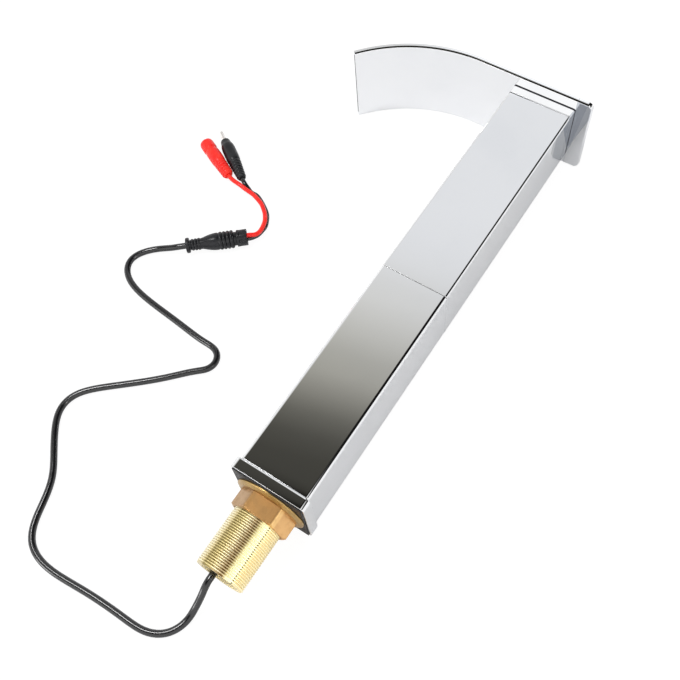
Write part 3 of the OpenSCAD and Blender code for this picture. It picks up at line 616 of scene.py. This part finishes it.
def layCords():
    def route(cord):
        return [lying(x, y, z + cord["diameter"] / 2) for x, y, z in cord["route"]]

    def makeLead(name, lead, start, end, direction, slot, node):
        line = [start, start + lead["stub"] * connectorDir, *route(lead), end - lead["lineup"] * direction, end]
        return makeCord(name, line, lead["diameter"], slot, node)

    line = [Vector(cable["exit"]), *route(cable), connectorIn - cable["lineup"] * connectorDir, connectorIn]
    whole = makeCord("sensorCable", line, cable["diameter"], "cable_black", "sensor_cable")
    top, low = connectorOut + leadRise, connectorOut - leadRise
    red = makeLead("redLead", redLead, top, jackIn, jackDir, "lead_red", "red_lead")
    black = makeLead("blackLead", blackLead, low, plugIn, plugDir, "cable_black", "black_lead")
    makeCord("innerCable", [Vector(p) for p in insideCable["route"]], insideCable["diameter"], "cable_black",
             "inner_cable")
    return whole, red, black, top, low


sensorCable, redCord, blackCord, redExit, blackExit = layCords()
print("cords laid")

# In-line connector, jack and plug


def rings(start, end, count, outer, inner):
    # Round rings one after another between two heights, each with its outer and inner radius at both ends
    rows = []
    pitch = (end - start) / count
    for k in range(count):
        for share, lift in ringWave:
            at = (k + share) / count
            high = outer[0] + (outer[1] - outer[0]) * at
            low = inner[0] + (inner[1] - inner[0]) * at
            rows.append((start + (k + share) * pitch, low + (high - low) * lift))
    return rows


def makeConnector():
    c = connector
    place = axisAt(connectorIn, connectorDir)
    rows = softened(c["disc"], 0.5) + rings(*c["neckRings"]) + c["belly"] + rings(*c["bellyRings"])
    rows += softened(c["gap"], 0.2, 2)
    plugHalf = asPiece(turned(rows, place), "connectorPlug", "moulded_black", node="connector_plug")

    def notched(angle, height, radius):
        # Broad notches towards the lead's end
        if radius < c["notchLeast"] or height < c["notchFrom"]:
            return radius
        low, high = c["notchEdges"]
        wave = 0.5 + 0.5 * math.cos(c["notches"] * angle)
        return radius * (1 - c["notchDepth"] * max(0.0, min(1.0, (wave - low) / (high - low))))

    socketPlace = axisAt(connectorIn + c["collarFrom"] * connectorDir, connectorDir)
    collar = turned(softened(c["collar"], 0.35), socketPlace, 96, notched)
    socketHalf = asPiece(collar, "connectorSocket", "moulded_black", node="connector_socket")
    return plugHalf, socketHalf


def makeJack():
    rows = jack["end"] + rings(*jack["rings"]) + softened(jack["body"], 0.5)
    return asPiece(turned(rows, axisAt(jackIn, jackDir)), "redJack", "lead_red", node="red_jack")


def makePlug():
    rows = plug["end"] + rings(*plug["rings"]) + softened(plug["body"], 0.7)
    body = asPiece(turned(rows, axisAt(plugIn, plugDir)), "blackPlug", "moulded_black", node="black_plug")
    place = axisAt(plugIn + plug["length"] * plugDir, plugDir)
    barrel = asPiece(turned(softened(plug["barrel"], 0.2), place, 48), "plugBarrel", "nickel", node="plug_barrel")
    return body, barrel


plugHalf, socketHalf = makeConnector()
jackBody = makeJack()
plugBody, plugBarrel = makePlug()

redExit * mm
blackExit * mm
print("connectors made")

# Column

column = {
    "w": 49, "d": 49, "wall": 2.5, "edgeR": 1.7, "lowerEdgeR": 2.4, "footY": 7.6, "seamY": 166, "seamH": 0.24,
    "capY": 339, "endR": 0.3, "footR": 0.8, "innerR": 0.3, "arc": 12, "rowStep": 8,
    "windowY": 290, "windowW": 15, "windowH": 26, "windowR": 2.5, "windowArc": 6, "windowPast": 1,
    "capH": 8, "plugW": 43.8, "plugD": 43.8, "plugH": 10, "riserR": 6.05, "boreR": 4.2, "riserEnd": 341,
}
leastR = 0.02    # of any rounded corner


def boxLoop(w, d, r, y, arc, inset=0.0):
    # Rectangle with round corners across the column; x is its width and z its depth
    a, b, r = w / 2 - inset, d / 2 - inset, max(r - inset, leastR)
    loop = []
    for quarter, (sx, sz) in enumerate(((1, 1), (-1, 1), (-1, -1), (1, -1))):
        for k in range(arc + 1):
            angle = math.radians(90 * (quarter + k / arc))
            loop.append(Vector((sx * (a - r) + r * math.cos(angle), y, sz * (b - r) + r * math.sin(angle))) * mm)
    return loop


def roundLoop(r, y, arc):
    # Circle about the column's axis with as many points as boxLoop gives
    count = 4 * (arc + 1)
    angles = [2 * math.pi * (k + 0.5) / count for k in range(count)]
    return [Vector((r * math.cos(a), y, r * math.sin(a))) * mm for a in angles]


def roundedRows(low, high, r, steps=4):
    # Heights and insets of a side whose two edges are rounded by r
    turns = [math.radians(90 * k / steps) for k in range(steps + 1)]
    start = [(low + r * (1 - math.sin(a)), r * (1 - math.cos(a))) for a in reversed(turns)]
    end = [(high - r * (1 - math.sin(a)), r * (1 - math.cos(a))) for a in turns]
    return start, end


def loopMesh(loops, closed=True):
    bm = bmesh.new()
    joinRings(bm, [[bm.verts.new(p) for p in loop] for loop in loops], closed)
    return bm


def makeTube(low, high, edgeR, footR):
    c = column
    start, end = roundedRows(low, high, footR)[0], roundedRows(low, high, c["endR"])[1]
    count = round((high - low) / c["rowStep"])
    between = [(low + (high - low) * k / count, 0.0) for k in range(1, count)]
    loops = [boxLoop(c["w"], c["d"], edgeR, y, c["arc"], inset) for y, inset in start + between + end]
    bore = (c["w"] - 2 * c["wall"], c["d"] - 2 * c["wall"], c["innerR"])
    loops += [boxLoop(*bore, high, c["arc"]), boxLoop(*bore, low, c["arc"])]
    return loopMesh(loops)


def makeColumn():
    c = column
    seam = c["seamH"] / 2
    lower = makeTube(c["footY"], c["seamY"] - seam, c["lowerEdgeR"], c["footR"])
    asPiece(lower, "lowerColumn", "chrome", node="lower_column", crisp=True)
    upper = makeTube(c["seamY"] + seam, c["capY"], c["edgeR"], c["endR"])
    tube = asPiece(upper, "upperColumn", "chrome", node="upper_column", crisp=True)
    cutWindow(tube)


def makeCap():
    # Block on the column: its plug hangs below it, and the riser goes up into it
    c = column
    low, high, foot = c["capY"], c["capY"] + c["capH"], c["capY"] - c["plugH"]
    start, end = roundedRows(low, high, c["endR"])
    loops = [boxLoop(c["w"], c["d"], c["edgeR"], y, c["arc"], inset) for y, inset in start + end]
    loops += [roundLoop(r, y, c["arc"]) for r, y in (
        (c["boreR"], high), (c["boreR"], c["riserEnd"]), (c["riserR"], c["riserEnd"]), (c["riserR"], foot))]
    loops += [boxLoop(c["plugW"], c["plugD"], c["innerR"], y, c["arc"]) for y in (foot, low)]
    cap = asPiece(loopMesh(loops), "headCap", "chrome", node="head_cap", crisp=True)
    cap.data.materials[0] = finishes["cap"]


def cutWindow(tube):
    # Opening for the sensor window in the face under the spout
    c = column
    bm = bmesh.new()
    ends = []
    for x in (-c["w"] / 2 - c["windowPast"], -c["w"] / 2 + c["wall"] + c["windowPast"]):
        flat = boxLoop(c["windowH"], c["windowW"], c["windowR"], 0, c["windowArc"])
        ends.append([bm.verts.new((x * mm, c["windowY"] * mm + p.x, p.z)) for p in flat])
    joinRings(bm, ends)
    bm.faces.new(ends[0])
    bm.faces.new(reversed(ends[1]))
    bmesh.ops.recalc_face_normals(bm, faces=bm.faces)
    cutter = linked("windowCutter", meshOf(bm, "windowCutter"))
    cut = tube.modifiers.new("window", "BOOLEAN")
    cut.operation, cut.solver, cut.object = "DIFFERENCE", "EXACT", cutter
    bpy.context.view_layer.update()
    shown = tube.evaluated_get(bpy.context.evaluated_depsgraph_get())
    cutMesh = bpy.data.meshes.new_from_object(shown)
    tube.modifiers.clear()
    tube.data = cutMesh
    bpy.data.objects.remove(cutter)
    keepFlat(tube)


makeColumn()
makeCap()
print("column made")

# Spout plate: two shells swept over the column and down through the bend

plate = {
    "w": 66.6, "t": 4, "draft": 18, "lip": 0.5, "trayR": 0.5, "coverR": 0.6, "edgeSteps": 6, "cornerR": 4,
    "cornerSteps": 8, "back": 36, "bendStart": 53, "bendR": 109, "bendAngle": 50.4, "underY": 347, "floor": 1.2,
    "roof": 1.2, "side": 2.6, "channelBack": 18, "split": 2, "gap": 0.02, "bendSteps": 96, "flatStep": 6,
    "ribs": 5, "ribT": 0.8, "ribSetback": 7, "ribLead": 5, "ribSink": 0.3, "ribSteps": 40, "ribTip": 0.35,
}
plate["outlet"] = plate["bendStart"] + math.radians(plate["bendAngle"]) * plate["bendR"]


def onPlate(along, across, height):
    # along runs from the column's axis to the outlet, height from the plate's underside
    p = plate
    if along <= p["bendStart"]:
        return Vector((-along, p["underY"] + height, across)) * mm
    turn = (along - p["bendStart"]) / p["bendR"]
    r = p["bendR"] + height
    centreY = p["underY"] - p["bendR"]
    return Vector((-p["bendStart"] - r * math.sin(turn), centreY + r * math.cos(turn), across)) * mm


def plateStations(fromBack):
    # Distances along the plate, from the outlet back to where the corners start
    p = plate
    reach = p["outlet"] - p["bendStart"]
    bend = [p["bendStart"] + reach * (1 - k / p["bendSteps"]) for k in range(p["bendSteps"] + 1)]
    flat, at = [], p["bendStart"] - p["flatStep"]
    while at > fromBack + 1:
        flat.append(at)
        at -= p["flatStep"]
    return bend + sorted(set(flat + [-p["channelBack"], fromBack]), reverse=True)


def makeShell(levels, channelH):
    # One half of the plate: levels are heights and insets of its edge, from the seam between the halves
    # to the outer face, and channelH is the wall of the water channel
    p = plate
    half = p["w"] / 2
    splitH = levels[0][0]
    stations = plateStations(-p["back"] + p["cornerR"])
    bm = bmesh.new()
    sides, corners = [], []
    for height, inset in levels:
        r = p["cornerR"] - inset
        pathLeft = [bm.verts.new(onPlate(s, -(half - inset), height)) for s in stations]
        pathRight = [bm.verts.new(onPlate(s, half - inset, height)) for s in stations]
        turn = []
        for side, steps in ((-1, range(1, p["cornerSteps"] + 1)), (1, range(p["cornerSteps"], 0, -1))):
            for k in steps:
                a = math.radians(90 * k / p["cornerSteps"])
                turn.append(bm.verts.new(onPlate(-p["back"] + p["cornerR"] - r * math.sin(a),
                                                 side * (half - p["cornerR"] + r * math.cos(a)), height)))
        sides.append((pathLeft, pathRight))
        corners.append(turn)
    around = [left + turn + right[::-1] for (left, right), turn in zip(sides, corners)]
    for first, second in zip(around, around[1:]):
        quads(bm, first, second)
    # outer face
    left, right = sides[-1]
    quads(bm, left, right)
    bm.faces.new([left[-1]] + corners[-1] + [right[-1]])
    # seam face, with the channel sunk in it
    left, right = sides[0]
    wide = half - p["side"]
    inChannel = [s for s in stations if s >= -p["channelBack"]]
    count = len(inChannel)
    wallLeft, wallRight, deepLeft, deepRight = (
        [bm.verts.new(onPlate(s, x, at)) for s in inChannel] for at in (splitH, channelH) for x in (-wide, wide))
    for rail, wall in ((left, wallLeft), (right, wallRight), (wallLeft, deepLeft), (wallRight, deepRight),
                       (deepLeft, deepRight)):
        quads(bm, rail[:count], wall)
    bm.faces.new((wallLeft[-1], wallRight[-1], deepRight[-1], deepLeft[-1]))
    bm.faces.new((left[count - 1], wallLeft[-1], wallRight[-1], right[count - 1], right[count], left[count]))
    quads(bm, left[count:], right[count:])
    bm.faces.new([left[-1]] + corners[0] + [right[-1]])
    # outlet end
    bm.faces.new([ring[0] for ring, _ in sides] + [ring[0] for _, ring in reversed(sides)]
                 + [wallRight[0], deepRight[0], deepLeft[0], wallLeft[0]])
    return bm


def addRibs(bm):
    # Guide ribs, from the floor of the channel to its roof
    p = plate
    start, end = p["bendStart"] + p["ribLead"], p["outlet"] - p["ribSetback"]
    wide, last = p["w"] - 2 * p["side"], p["ribSteps"]
    low, high = p["floor"] - p["ribSink"], p["t"] - p["roof"] - p["gap"]
    for k in range(p["ribs"]):
        middle = -wide / 2 + (k + 1) * wide / (p["ribs"] + 1)
        rings = []
        for i in range(last + 1):
            s = start + (end - start) * i / last
            thin = p["ribT"] / 2 * min(1.0, p["ribTip"] + (1 - p["ribTip"]) * min(i, last - i) / 2)
            corners = [(-thin, low), (thin, low), (thin, high), (-thin, high)]
            rings.append([bm.verts.new(onPlate(s, middle + across, height)) for across, height in corners])
        joinRings(bm, rings)
        bm.faces.new(rings[0])
        bm.faces.new(reversed(rings[-1]))


def makeSpout():
    # The tray's edge leans in towards the underside, and the cover's edge stands upright
    p = plate
    lean, r, last = math.radians(p["draft"]), p["trayR"], p["edgeSteps"]
    leaning = (p["split"] - p["lip"] - r * (1 - math.sin(lean))) * math.tan(lean)
    turns = [lean + (math.pi / 2 - lean) * k / last for k in range(last + 1)]
    levels = [(p["split"] - p["gap"], 0.0), (p["split"] - p["lip"], 0.0)]
    levels += [(r * (1 - math.sin(a)), leaning + r * (math.cos(lean) - math.cos(a))) for a in turns]
    tray = makeShell(levels, p["floor"])
    addRibs(tray)
    asPiece(tray, "spoutTray", "chrome", node="spout_tray", crisp=True)
    levels = [(p["split"] + p["gap"], 0.0)] + roundedRows(0, p["t"], p["coverR"], last)[1]
    cover = makeShell(levels, p["t"] - p["roof"])
    asPiece(cover, "spoutCover", "chrome", node="spout_cover", crisp=True)


makeSpout()
print("spout made")

# Flange

flange = {"w": 53, "h": 7.6, "edgeR": 1.2, "cornerR": 3.2, "rim": 1.5, "recess": 1.2, "holeR": 16.05, "arc": 10,
          "footR": 0.3, "innerR": 0.3, "edgeSteps": 6}


def makeFlange():
    f = flange
    arc = f["arc"]
    foot = roundedRows(0, f["h"], f["footR"], f["edgeSteps"])[0]
    crown = roundedRows(0, f["h"], f["edgeR"], f["edgeSteps"])[1]
    loops = [boxLoop(f["w"], f["w"], f["cornerR"], y, arc, inset) for y, inset in foot + crown]
    loops += [roundLoop(f["holeR"], f["h"], arc), roundLoop(f["holeR"], f["recess"], arc)]
    inner = f["w"] - 2 * f["rim"]
    loops += [boxLoop(inner, inner, f["innerR"], y, arc) for y in (f["recess"], 0)]
    asPiece(loopMesh(loops), "baseFlange", "chrome", node="base_flange", crisp=True)


makeFlange()

# Shank, washer and lock nut

shank = {
    "r": 16, "seenR": 16.5, "bore": 13, "low": -54, "high": 15.6, "pitch": 1.5, "depth": 0.6, "chamfer": 0.8,
    "sides": 96, "profile": [(0, 0), (0.1, 0), (0.42, 1), (0.58, 1), (0.9, 0)],    # shares of pitch and depth
}
washer = {"low": -3.4, "t": 2.6, "r": 24.3, "hole": 16.6, "bevel": 2.8, "rim": 1, "soft": 0.3, "sides": 128}
# The nut's end rows are heights from an end, with radii past the flats below and insets from the corners above
nut = {
    "low": -15.4, "h": 12, "flats": 35, "turn": 8, "bore": 16.6, "edge": 0.35, "edgeTurn": 3, "sides": 240,
    "chamfer": [(0, -0.45), (0.12, 0.05), (0.4, 0.9), (0.8, 1.7)], "full": (1.2, 1.6),
    "top": [(0.5, 0), (0.15, 0.2), (0, 0.6)], "boreTop": 0.6, "boreLow": 0.7,
}
hair = 1e-6    # metres, within which a point lies on a cut


def makeShank():
    # The thread is one strip wound about the axis, then cut square at both ends
    s = shank
    profile = s["profile"]
    bm = bmesh.new()
    low, high = s["low"] - s["pitch"], s["high"] + s["pitch"]
    count = int((high - low) / s["pitch"] * s["sides"])
    strip = []
    for i in range(count):
        angle = 2 * math.pi * i / s["sides"]
        base = low + s["pitch"] * i / s["sides"]
        ring = []
        for share, deep in profile:
            y = base + share * s["pitch"]
            outer = s["seenR"] if y < 0 else s["r"]
            r = min(outer - deep * s["depth"], outer - s["chamfer"] + max(0.0, y - s["low"]))
            ring.append(bm.verts.new(Vector((-r * math.sin(angle), y, r * math.cos(angle))) * mm))
        strip.append(ring)
    for i in range(count - 1):
        for j in range(len(profile) - 1):
            bm.faces.new((strip[i][j], strip[i + 1][j], strip[i + 1][j + 1], strip[i][j + 1]))
        if i + 1 + s["sides"] < count:
            upper = i + s["sides"]
            bm.faces.new((strip[i][-1], strip[i + 1][-1], strip[upper + 1][0], strip[upper][0]))
    for y, side in ((s["low"], -1), (s["high"], 1)):
        bmesh.ops.bisect_plane(bm, geom=bm.verts[:] + bm.edges[:] + bm.faces[:], plane_co=(0, y * mm, 0),
                               plane_no=(0, side, 0), clear_outer=True, dist=hair / 10)
    ends = []
    for y in (s["low"], s["high"]):
        rim = [e for e in bm.edges if e.is_boundary and all(abs(v.co.y - y * mm) < hair for v in e.verts)]
        bore = []
        for k in range(s["sides"]):
            angle = 2 * math.pi * k / s["sides"]
            bore.append(bm.verts.new(Vector((-s["bore"] * math.sin(angle), y, s["bore"] * math.cos(angle))) * mm))
        edges = [bm.edges.new((bore[k - 1], bore[k])) for k in range(s["sides"])]
        bmesh.ops.bridge_loops(bm, edges=rim + edges)
        ends.append(bore)
    mouth, inside = ends
    for k in range(s["sides"]):
        bm.faces.new((mouth[k - 1], mouth[k], inside[k], inside[k - 1]))
    asPiece(bm, "threadedShank", "thread_brass", node="threaded_shank", sharp=28)


def makeWasher():
    w = washer
    t, r = w["t"], w["r"]
    rows = softened([(0, w["hole"]), (0, r - w["bevel"]), (t - w["rim"], r), (t, r), (t, w["hole"])], w["soft"])
    place = upright @ Matrix.Translation((0, 0, w["low"]))
    asPiece(turned(rows, place, w["sides"], closed=True), "clampWasher", "turned_brass", "washer", "clamp_washer",
            crisp=True)


def makeNut():
    n = nut
    flat = n["flats"] / 2
    corner = flat / math.cos(math.radians(30))

    def hexed(angle, height, radius):
        if radius < flat - 0.5:
            return radius
        off = (math.degrees(angle) - n["turn"] + 30) % 60 - 30
        side = flat / math.cos(math.radians(30 - abs(off)))
        return min(radius, side, corner - n["edge"] * max(0.0, 1 - abs(off) / n["edgeTurn"]))

    top = n["h"]
    rows = [(height, flat + past) for height, past in n["chamfer"]] + [(height, corner) for height in n["full"]]
    rows += [(top - depth, corner - inset) for depth, inset in n["top"]]
    rows += [(top, n["bore"] + n["boreTop"]), (top - n["boreTop"], n["bore"]), (n["boreLow"], n["bore"]),
             (0, n["bore"] + n["boreLow"])]
    place = upright @ Matrix.Translation((0, 0, n["low"]))
    asPiece(turned(rows, place, n["sides"], hexed, True), "lockNut", "forged_brass", "nut", "lock_nut", sharp=24)


makeShank()
makeWasher()
makeNut()
print("shank, washer and nut made")

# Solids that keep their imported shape

for row in frame["record"]["subparts"]:
    kept = nodes[row["node"]]
    if not kept.hide_render:
        kept.data.materials.clear()
        kept.data.materials.append(finishes[row["material_slot"]])
print("kept solids painted")

# Studio

studio = {
    "floorSize": 6, "floorSteps": 8, "floorAt": (-60, 120), "ambient": 0.68, "shade": 0.16, "paper": 1.1,
    "plain": 0.8, "bare": (0.98, 0.985, 1.0, 1), "glint": 3,
    "lamps": [    # place, aim, width, length, radiance
        ((-0.52, -0.02, 1.2), (-0.06, 0.1, 0.0), 0.24, 0.36, 28),
        ((0.96, 0.08, 0.5), (-0.1, 0.0, 0.0), 0.08, 0.5, 16),
        ((-0.66, -0.97, 0.2), (-0.13, 0.08, 0.0), 0.3, 0.3, 10)],
}
scene.cycles.sample_clamp_direct = studio["glint"]         # keeps thin glints on the polished edges even


def mirrorRay(paint):
    # 1 for a ray off polished metal or through clear plastic
    return paint.node("LightPath", out="Is Glossy Ray").most(paint.node("LightPath", out="Is Transmission Ray"))


def floorShader(paint):
    # White paper with a soft shadow for the camera; polished metal sees it as the lamps light it
    camera = paint.node("LightPath", out="Is Camera Ray")
    plain = paint.node("BsdfDiffuse", {}, {"Color": grey(studio["plain"])})
    bare = paint.node("BsdfDiffuse", {}, {"Color": studio["bare"]})
    white = paint.node("Emission", {}, {"Color": grey(1), "Strength": studio["paper"]})
    seen = paint.node("MixShader", {}, {0: studio["shade"], 1: white, 2: plain})
    either = paint.node("MixShader", {}, {0: mirrorRay(paint), 1: plain, 2: bare})
    return paint.node("MixShader", {}, {0: camera, 1: either, 2: seen})


def makeFloor():
    # Fine grid through the three resting points, wide enough for every view
    bm = bmesh.new()
    centre = Vector((*studio["floorAt"], groundAt(*studio["floorAt"])))
    side = Vector((1, 0, 0)).cross(restNormal).normalized()
    across = restNormal.cross(side)
    size, steps = studio["floorSize"] / 2, studio["floorSteps"]
    grid = [[bm.verts.new(centre * mm + across * size * (2 * i / steps - 1) + side * size * (2 * j / steps - 1))
             for j in range(steps + 1)] for i in range(steps + 1)]
    for line, after in zip(grid, grid[1:]):
        quads(bm, after, line)
    paper = bpy.data.materials.new("whiteFloor")
    paint = emptied(paper)
    paint.node("OutputMaterial", {}, {"Surface": floorShader(paint)})
    floor = linked("floor", meshOf(bm, "floor"))
    floor.data.materials.append(paper)


# What polished metal sees above it: brightness, by how far a direction leans up the column
sky = [(0.0, 0.012), (0.185, 0.014), (0.196, 0.048), (0.215, 0.062), (0.246, 0.068), (0.276, 0.092), (0.306, 0.162),
       (0.336, 0.3), (0.366, 0.44), (0.397, 0.49), (0.427, 0.6), (0.457, 0.7), (0.487, 0.79), (0.513, 0.82),
       (0.557, 0.89), (0.6, 0.93), (0.658, 0.95), (0.893, 0.96), (0.903, 1.25)]
skyLook = {"tilt": 0.25, "middle": -0.31, "tintEdges": (0.25, 0.6), "warm": (1.03, 1.0, 0.86, 1),
           "cool": (0.985, 1.0, 1.03, 1), "least": 0.02, "above": (0.2, 0.3), "flag": (-0.17, -0.12, 2.0, 2.3)}


def ceiling(paint):
    # Rise and across are a direction's y and x over its height
    view = paint.node("TexCoord", out="Generated")
    height = paint.node("SeparateXYZ", {}, {0: view}, "Z")
    safe = height.most(skyLook["least"])
    across, rise = (paint.node("SeparateXYZ", {}, {0: view}, axis) / safe for axis in "XY")
    tilted = rise - (across - skyLook["middle"]) * skyLook["tilt"]
    tint = blended(paint, step(rise, *skyLook["tintEdges"]), skyLook["warm"], skyLook["cool"])
    ramp = paint.node("ValToRGB", {"stops": [(v, grey(level)) for v, level in sky]}, {"Fac": tilted})
    colour = paint.node("VectorMath", {"operation": "MULTIPLY"}, {0: ramp, 1: tint})
    above = step(rise, *skyLook["above"])
    below = 1 - above
    # Fields of one brightness: their share of a direction, and how bright they are
    fields = [
        (step(across, 0.22, 0.42) * below, 1.25),           # low on the right
        (step(across, 2.0, 2.3), 1.25),                     # far right
        (band(across, skyLook["flag"]) * above, 0.01),      # dark flag, which lines the right edges
        (step(across, -0.42, -0.6) * above, 0.8),           # high on the left
        (step(across, -0.45, -1.6) * below, 1.05),          # low on the left
        (step(across, -0.9, -2.2), 1.2),                    # far left
        (step(rise, -0.6, -0.75), 1.55),                    # past the flange
        (step(height, 0.03, 0.0), 1.15),                    # horizon
    ]
    for share, level in fields:
        colour = blended(paint, share, colour, grey(level))
    return colour


def makeWorld():
    scene.world = bpy.data.worlds.new("studio")
    paint = emptied(scene.world)
    camera = paint.node("LightPath", out="Is Camera Ray")
    light = blended(paint, mirrorRay(paint), grey(studio["ambient"]), ceiling(paint))
    colour = blended(paint, camera, light, grey(1))
    shown = paint.node("Background", {}, {"Color": colour, "Strength": 1.0})
    paint.node("OutputWorld", {}, {"Surface": shown})


def makeLamps():
    for k, (place, aim, width, length, radiance) in enumerate(studio["lamps"]):
        data = bpy.data.lights.new(f"softBox{k}", "AREA")
        data.shape, data.size, data.size_y = "RECTANGLE", width, length
        data.energy = radiance * math.pi * width * length
        lamp = linked(f"softBox{k}", data)
        lamp.location = place
        lamp.rotation_euler = (Vector(aim) - Vector(place)).to_track_quat("-Z", "Y").to_euler()
        lamp.visible_camera = False


makeFloor()
makeWorld()
makeLamps()
print("studio made")
